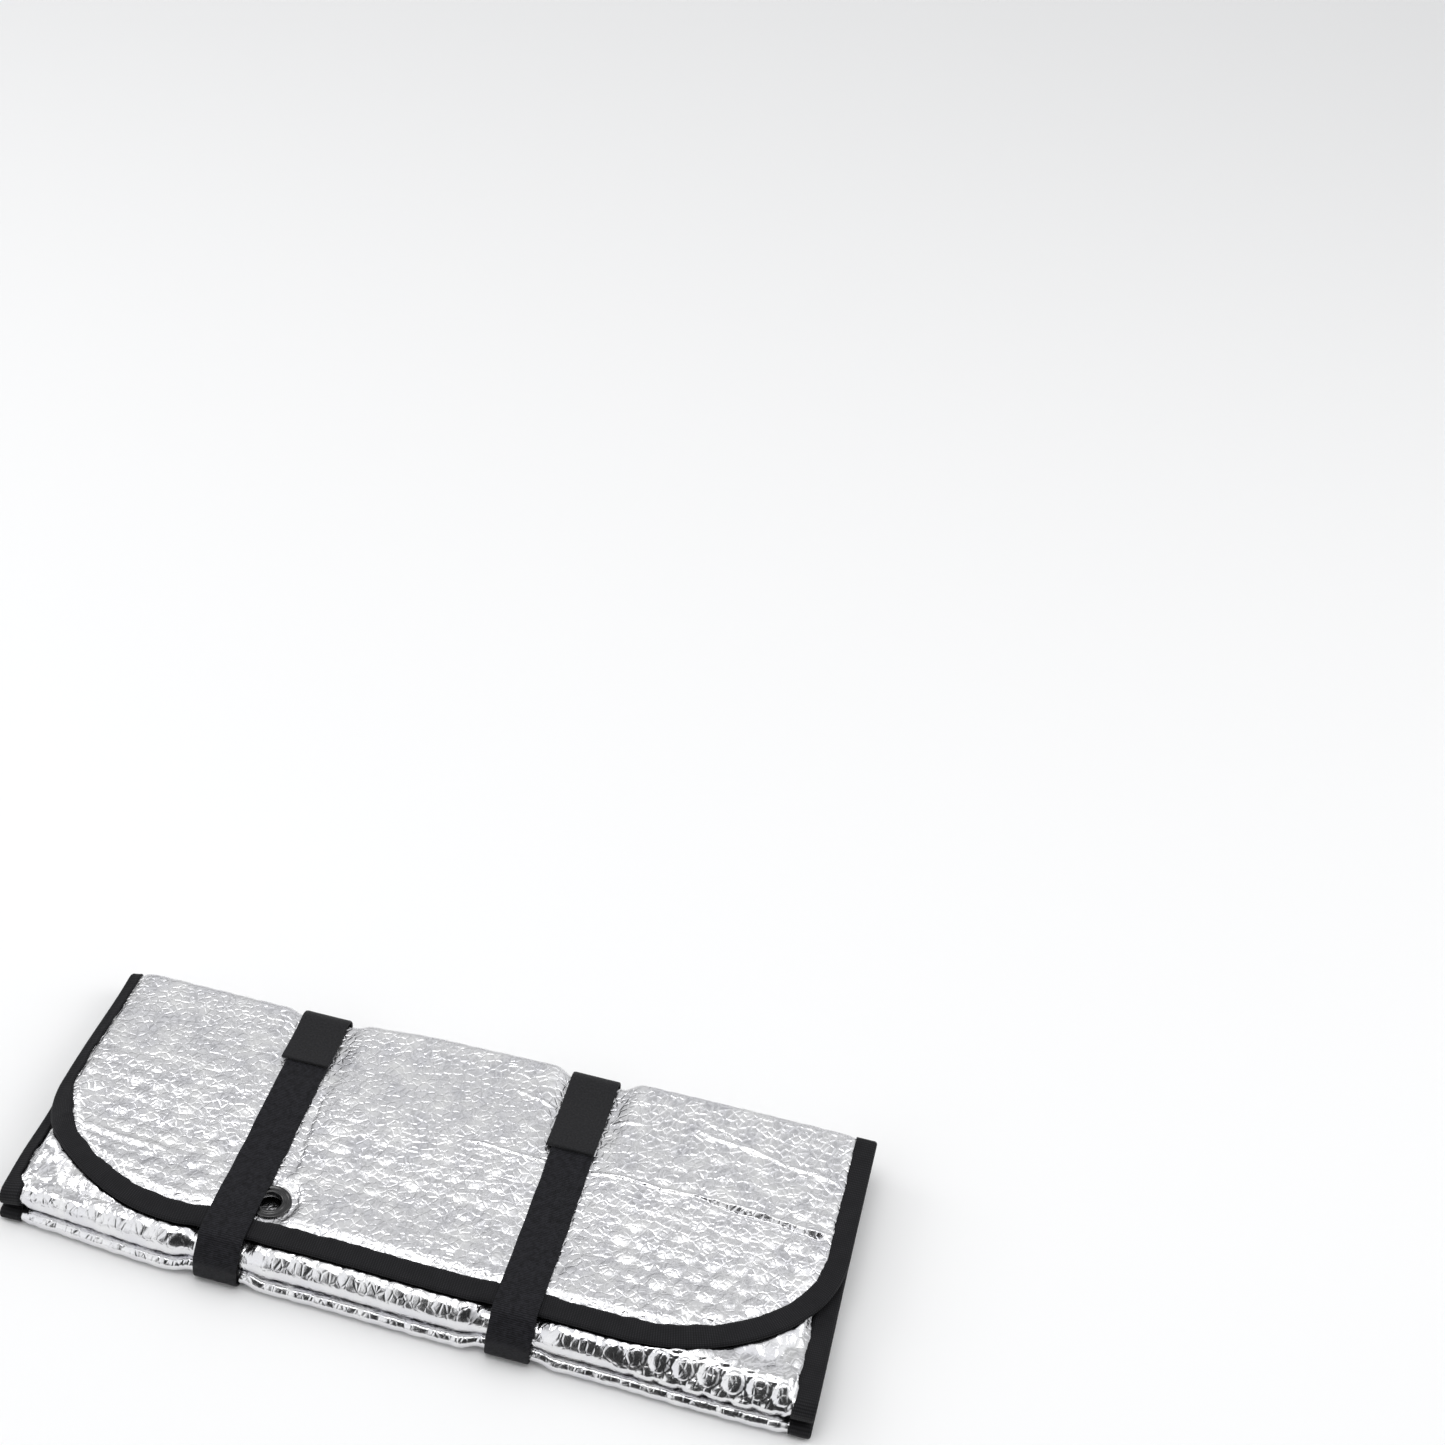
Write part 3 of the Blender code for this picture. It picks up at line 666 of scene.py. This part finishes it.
tape_finish, tree, shader = new_finish("tape_finish", (0.015, 0.015, 0.017), 0.7)
shader.inputs["Sheen Weight"].default_value = 0.04
shader.inputs["Sheen Roughness"].default_value = 0.5
shader.inputs["Specular IOR Level"].default_value = 0.14
woven_place = add_node(tree, "UVMap", uv_map="woven").outputs["UV"]
weft = add_node(tree, "TexWave", {"Vector": woven_place, "Scale": 230.0, "Distortion": 0.6,
                                  "Detail": 1.0}, bands_direction="X")
warp = add_node(tree, "TexWave", {"Vector": woven_place, "Scale": 330.0, "Distortion": 0.4},
                bands_direction="Y")
weave = add_node(tree, "Math", {0: weft.outputs["Fac"], 1: warp.outputs["Fac"]},
                 operation="MULTIPLY")
bump_from(tree, shader, weave.outputs[0], 0.00018, 0.8)
fade = add_node(tree, "TexNoise", {"Vector": woven_place, "Scale": 120.0, "Detail": 4.0})
thread = add_node(tree, "Math", {0: fade.outputs["Fac"], 1: weave.outputs[0]},
                  operation="MULTIPLY")
dark, worn = (0.0, (0.006, 0.006, 0.007)), (0.5, (0.024, 0.024, 0.027))
tone_from(tree, shader, thread.outputs[0], dark, worn)
binding.data.materials.append(tape_finish)
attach(binding, "root")
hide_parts("edge_binding")

# The two straps: 25 mm black polypropylene webbing with ribs across and a firm selvedge. They
# are drawn tight round the bundle, from under the tab over the top, down the front, back under
# it and a little way up behind.
strap_width = 0.0245
strap_thickness = 0.0015
outline_step = 0.0015
top_reach = 0.0720
bundle_back_y = 0.0871
tab_start_z = 0.0060
strap_start_y = 0.0660
strap_end_z = 0.0120
# From the top's front edge on round the bundle: y and z of each corner, and its radius
wrap_corners = (
    (-0.0826, 0.0302, 0.0050),
    (-0.0924, 0.0196, 0.0120),
    (-0.0924, 0.0, 0.0046),
    (bundle_back_y, 0.0, 0.0046),
    (bundle_back_y, tab_start_z, 0.0),
    (bundle_back_y, strap_end_z, 0.0),
    (bundle_back_y, 0.0256, 0.0055),
)


def top_point(y):
    """The y and z of the point on the flap's face at y."""
    return np.array((y, float(layer_height(layers[-1], y)) + 0.5 * foil_thickness))


def bundle_outline():
    """The line round the bundle that the straps follow, in small steps, as rows of y and z."""
    top = [(*top_point(y), 0.0) for y in np.linspace(top_reach, -top_reach, 25)]
    corners = top + list(wrap_corners)
    points = []
    for index, (y, z, radius) in enumerate(corners):
        corner = np.array((y, z))
        if radius == 0.0:
            points.append(corner)
            continue
        back = np.array(corners[index - 1][:2]) - corner
        ahead = np.array(corners[(index + 1) % len(corners)][:2]) - corner
        back /= np.linalg.norm(back)
        ahead /= np.linalg.norm(ahead)
        half = 0.5 * math.acos(float(back @ ahead))
        middle = back + ahead
        centre = corner + middle / np.linalg.norm(middle) * radius / math.sin(half)
        start = corner + back * radius / math.tan(half) - centre
        end = corner + ahead * radius / math.tan(half) - centre
        turn = math.pi - 2.0 * half
        for share in np.linspace(0.0, 1.0, max(3, round(math.degrees(turn) / 5.0))):
            mix = start * math.sin((1.0 - share) * turn) + end * math.sin(share * turn)
            points.append(centre + mix / math.sin(turn))
    points = np.array(points)
    closed = np.vstack((points, points[:1]))
    run = np.concatenate(([0.0], np.cumsum(np.linalg.norm(np.diff(closed, axis=0), axis=1))))
    even = np.arange(0.0, run[-1], outline_step)
    return np.column_stack([np.interp(even, run, closed[:, axis]) for axis in (0, 1)])


outline = bundle_outline()


def wrap_line(offset, start, stop):
    """The stretch of the outline from one place to another, set outwards, and its directions."""
    first = int(np.argmin(np.linalg.norm(outline - start, axis=1)))
    last = int(np.argmin(np.linalg.norm(outline - stop, axis=1)))
    count = len(outline)
    picks = (first + np.arange((last - first) % count + 1)) % count
    run = outline[(picks + 1) % count] - outline[picks - 1]
    run /= np.linalg.norm(run, axis=1)[:, None]
    return outline[picks] + offset * np.column_stack((run[:, 1], -run[:, 0])), run


def band(name, line, run, middle_x, width, thickness):
    """A flat band with rounded edges that lies along a line round the bundle."""
    shares = np.array((-0.5, -0.492, -0.46, -0.3, -0.1, 0.1, 0.3, 0.46, 0.492, 0.5))
    swell = np.array((0.35, 0.75, 1.0, 0.94, 0.94, 0.94, 0.94, 1.0, 0.75, 0.35)) * 0.5 * thickness
    out = np.column_stack((run[:, 1], -run[:, 0]))
    along = np.concatenate(([0.0], np.cumsum(np.linalg.norm(np.diff(line, axis=0), axis=1))))
    waver = noise_at(along, np.full_like(along, middle_x * 50.0), 60.0) * 0.0004
    rings = []
    across = []
    for face in (1.0, -1.0):
        order = range(len(shares)) if face > 0.0 else reversed(range(len(shares)))
        for pick in order:
            x = middle_x + shares[pick] * width + waver
            spot = line + out * face * swell[pick]
            rings.append(settle(x, spot[:, 0], spot[:, 1]))
            across.append(shares[pick] * width)
    return swept_piece(name, np.stack(rings, axis=1), np.array(across), along, False)


webbing_finish, tree, shader = new_finish("webbing_finish", (0.010, 0.010, 0.013), 0.6)
shader.inputs["Sheen Weight"].default_value = 0.03
shader.inputs["Specular IOR Level"].default_value = 0.14
woven_place = add_node(tree, "UVMap", uv_map="woven").outputs["UV"]
ribs = add_node(tree, "TexWave", {"Vector": woven_place, "Scale": 290.0, "Distortion": 2.5,
                                  "Detail": 2.0, "Detail Scale": 2.0}, bands_direction="X")
yarns = add_node(tree, "TexNoise", {"Vector": woven_place, "Scale": 520.0, "Detail": 3.0})
weave = add_node(tree, "Math", {0: ribs.outputs["Fac"], 1: yarns.outputs["Fac"]}, operation="ADD")
bump_from(tree, shader, weave.outputs[0], 0.00016, 0.8)
fade = add_node(tree, "TexNoise", {"Vector": woven_place, "Scale": 260.0, "Detail": 5.0})
thread = add_node(tree, "Math", {0: fade.outputs["Fac"], 1: weave.outputs[0]},
                  operation="MULTIPLY")
dark, worn = (0.25, (0.002, 0.002, 0.003)), (0.75, (0.017, 0.017, 0.021))
tone_from(tree, shader, thread.outputs[0], dark, worn)

strap_offset = tape_gap + 0.5 * strap_thickness
for side, strap_x, _ in strap_places:
    strap_end = np.array((bundle_back_y, strap_end_z))
    line, run = wrap_line(strap_offset, top_point(strap_start_y), strap_end)
    strap = band("webbing_" + side, line, run, strap_x, strap_width, strap_thickness)
    strap.data.materials.append(webbing_finish)
    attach(strap, "root")
    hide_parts("strap_" + side)

# The two tabs: short strips of black hook-and-loop tape, a little wider than the webbing. Each
# is sewn to its strap's end behind the bundle, comes up over the back fold, and is pressed down
# on the strap's other end on top.
tab_width = 0.0280
tab_thickness = 0.0016
tab_shift = -0.0015
tab_finish, tree, shader = new_finish("tab_finish", (0.03, 0.03, 0.034), 0.75)
shader.inputs["Sheen Weight"].default_value = 0.06
shader.inputs["Specular IOR Level"].default_value = 0.12
woven_place = add_node(tree, "UVMap", uv_map="woven").outputs["UV"]
pile = add_node(tree, "TexNoise", {"Vector": woven_place, "Scale": 900.0, "Detail": 4.0,
                                   "Roughness": 0.7})
loops = add_node(tree, "TexVoronoi", {"Vector": woven_place, "Scale": 700.0})
fuzz = add_node(tree, "Math", {0: pile.outputs["Fac"], 1: loops.outputs["Distance"]},
                operation="ADD")
bump_from(tree, shader, fuzz.outputs[0], 0.00022, 0.7)
dark, worn = (0.3, (0.009, 0.009, 0.010)), (0.75, (0.027, 0.027, 0.029))
tone_from(tree, shader, pile.outputs["Fac"], dark, worn)

tab_offset = 2.0 * tape_gap + strap_thickness + 0.5 * tab_thickness
for side, strap_x, end_y in strap_places:
    tab_start = np.array((bundle_back_y, tab_start_z))
    line, run = wrap_line(tab_offset, tab_start, top_point(end_y))
    tab = band("hook_and_loop_" + side, line, run, strap_x + tab_shift, tab_width, tab_thickness)
    tab.data.materials.append(tab_finish)
    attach(tab, "root")
    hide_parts("tab_" + side)

# The eyelet: two glossy black plastic rings snapped together through the sheet, with a raised
# lip round the hole and a rolled outer edge. The profile is the upper ring's section, from the
# hole outwards, as radius and height above the sheet's middle.
eyelet_profile = (
    (0.0060, 0.0010),
    (0.0062, 0.0019),
    (0.0068, 0.0023),
    (0.0075, 0.0023),
    (0.0081, 0.0020),
    (0.0085, 0.0016),
    (0.0092, 0.0015),
    (0.0098, 0.0017),
    (0.0104, 0.0021),
    (0.0110, 0.0020),
    (0.0114, 0.0016),
    (0.0116, 0.0011),
    (0.0116, 0.0010),
    (0.0080, 0.0010),
)
lower_profile = tuple((radius, -height) for radius, height in reversed(eyelet_profile))
eyelet_section = eyelet_profile + lower_profile
eyelet_mean_radius = 0.010
eyelet_turns = np.linspace(0.0, 2.0 * math.pi, 96, endpoint=False)
eyelet_rings = np.array([
    [(radius * math.cos(turn), radius * math.sin(turn), height)
     for radius, height in eyelet_section]
    for turn in eyelet_turns
])
eyelet = swept_piece(
    "plastic_eyelet",
    eyelet_rings,
    np.array([radius for radius, _ in eyelet_section]),
    eyelet_turns * eyelet_mean_radius,
    True,
)
eyelet.location = (eyelet_middle.x, eyelet_middle.y, eyelet_height)
eyelet.rotation_euler.x = math.atan(eyelet_slope)

eyelet_finish, tree, shader = new_finish("eyelet_finish", (0.012, 0.012, 0.013), 0.22)
shader.inputs["Coat Weight"].default_value = 0.3
moulding = add_node(tree, "TexCoord").outputs["Object"]
scuffs = add_node(tree, "TexNoise", {"Vector": moulding, "Scale": 700.0, "Detail": 4.0})
shine_from(tree, shader, scuffs.outputs["Fac"], 0.14, 0.32)
bump_from(tree, shader, scuffs.outputs["Fac"], 0.00004, 0.5)
eyelet.data.materials.append(eyelet_finish)
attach(eyelet, "root")
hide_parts("eyelet_ring")

# The floor: one wide, matt, nearly white sheet that the bundle lies on, set a hair lower than
# the base layer so that their faces don't share a plane.
floor_mesh = bpy.data.meshes.new("floor")
floor_mesh.from_pydata([(-6, -6, 0), (6, -6, 0), (6, 6, 0), (-6, 6, 0)], [], [(0, 1, 2, 3)])
floor = bpy.data.objects.new("floor", floor_mesh)
bpy.context.scene.collection.objects.link(floor)
floor.location.z = -0.0002
floor_finish, tree, shader = new_finish("floor_finish", (0.90, 0.90, 0.90), 0.9)
shader.inputs["Specular IOR Level"].default_value = 0.1
floor.data.materials.append(floor_finish)

# Soft studio light: three large soft boxes, one above and one at each side, in a pale room
# that is darker along its walls and in one stretch overhead. One dark hanging, in front of the
# bundle and behind the camera, is what the bright foil shows in its front folds. Each box is
# given as its name, place, width with length, and power.
soft_boxes = (
    ("top_box", (-0.10, -0.10, 1.90), (1.3, 0.9), 10.0),
    ("left_box", (-1.7, 0.3, 1.1), (0.8, 1.1), 6.5),
    ("right_box", (1.6, 0.5, 1.1), (0.8, 1.1), 5.5),
)
for name, spot, (wide, long), power in soft_boxes:
    lamp = bpy.data.lights.new(name, "AREA")
    lamp.shape = "RECTANGLE"
    lamp.size = wide
    lamp.size_y = long
    lamp.energy = power
    box = bpy.data.objects.new(name, lamp)
    box.location = spot
    box.rotation_euler = (-Vector(spot)).to_track_quat("-Z", "Y").to_euler()
    bpy.context.scene.collection.objects.link(box)

room = bpy.data.worlds.new("room")
room.use_nodes = True
tree = room.node_tree
way = add_node(tree, "TexCoord").outputs["Generated"]
along, depth, rise = add_node(tree, "SeparateXYZ", {"Vector": way}).outputs


def reckon(operation, first, second):
    """One step of arithmetic on the room's directions."""
    return add_node(tree, "Math", {0: first, 1: second}, operation=operation).outputs[0]


room_brightness = 1.12
# From the back wall over the ceiling to the front wall: share of the half turn, and brightness
room_steps = (
    (0.00, 0.42),
    (0.12, 0.55),
    (0.20, 0.90),
    (0.25, 0.72),
    (0.285, 0.43),
    (0.325, 0.43),
    (0.38, 0.60),
    (0.46, 0.90),
    (0.80, 1.00),
    (0.91, 0.75),
    (1.00, 0.45),
)
half_turn = reckon("MULTIPLY", reckon("ARCTAN2", rise, depth), 1.0 / math.pi)
sideways = reckon("MULTIPLY", reckon("ADD", along, 0.17), 0.28)
walls = add_node(tree, "ValToRGB", {"Fac": reckon("ADD", half_turn, sideways)})
for spot, _ in room_steps[1:-1]:
    walls.color_ramp.elements.new(spot)
for step, (spot, bright) in zip(walls.color_ramp.elements, room_steps):
    step.position = spot
    step.color = (bright, bright, bright, 1.0)
slant = reckon("SUBTRACT", reckon("MULTIPLY", along, 12.0), rise)
curtain = add_node(tree, "MapRange", {"Value": slant, "From Min": -3.45, "From Max": -3.05})
ahead = add_node(tree, "MapRange", {"Value": depth, "From Min": -0.14, "From Max": -0.30})
aside = add_node(tree, "MapRange", {"Value": along, "From Min": 0.60, "From Max": 0.45})
darkest = add_node(tree, "MapRange", {"Value": rise, "From Max": 0.45, "To Min": 0.80,
                                      "To Max": 0.97})
hanging = curtain.outputs["Result"]
for bound in (ahead, aside, darkest):
    hanging = reckon("MULTIPLY", hanging, bound.outputs["Result"])
glow = reckon("MULTIPLY", walls.outputs["Color"], room_brightness)
glow = reckon("MULTIPLY", glow, reckon("SUBTRACT", 1.0, hanging))
tree.links.new(glow, tree.nodes["Background"].inputs["Strength"])
tree.nodes["Background"].inputs["Color"].default_value = (0.985, 0.99, 1.0, 1.0)
bpy.context.scene.world = room
bpy.context.scene.view_settings.view_transform = "Standard"

# The camera, where the photograph was taken from: a good metre up and three quarters of a
# metre in front of the bundle, looking down on it from the right with a slight tilt.
lens = bpy.data.cameras.new("camera")
lens.sensor_width = 36.0
lens.lens = 57.30
camera = bpy.data.objects.new("camera", lens)
camera.location = Vector((0.2218, -0.7506, 1.0779)) + Vector(frame_shift)
camera.rotation_euler = (math.radians(47.845), math.radians(-5.876), math.radians(13.243))
bpy.context.scene.collection.objects.link(camera)
bpy.context.scene.camera = camera
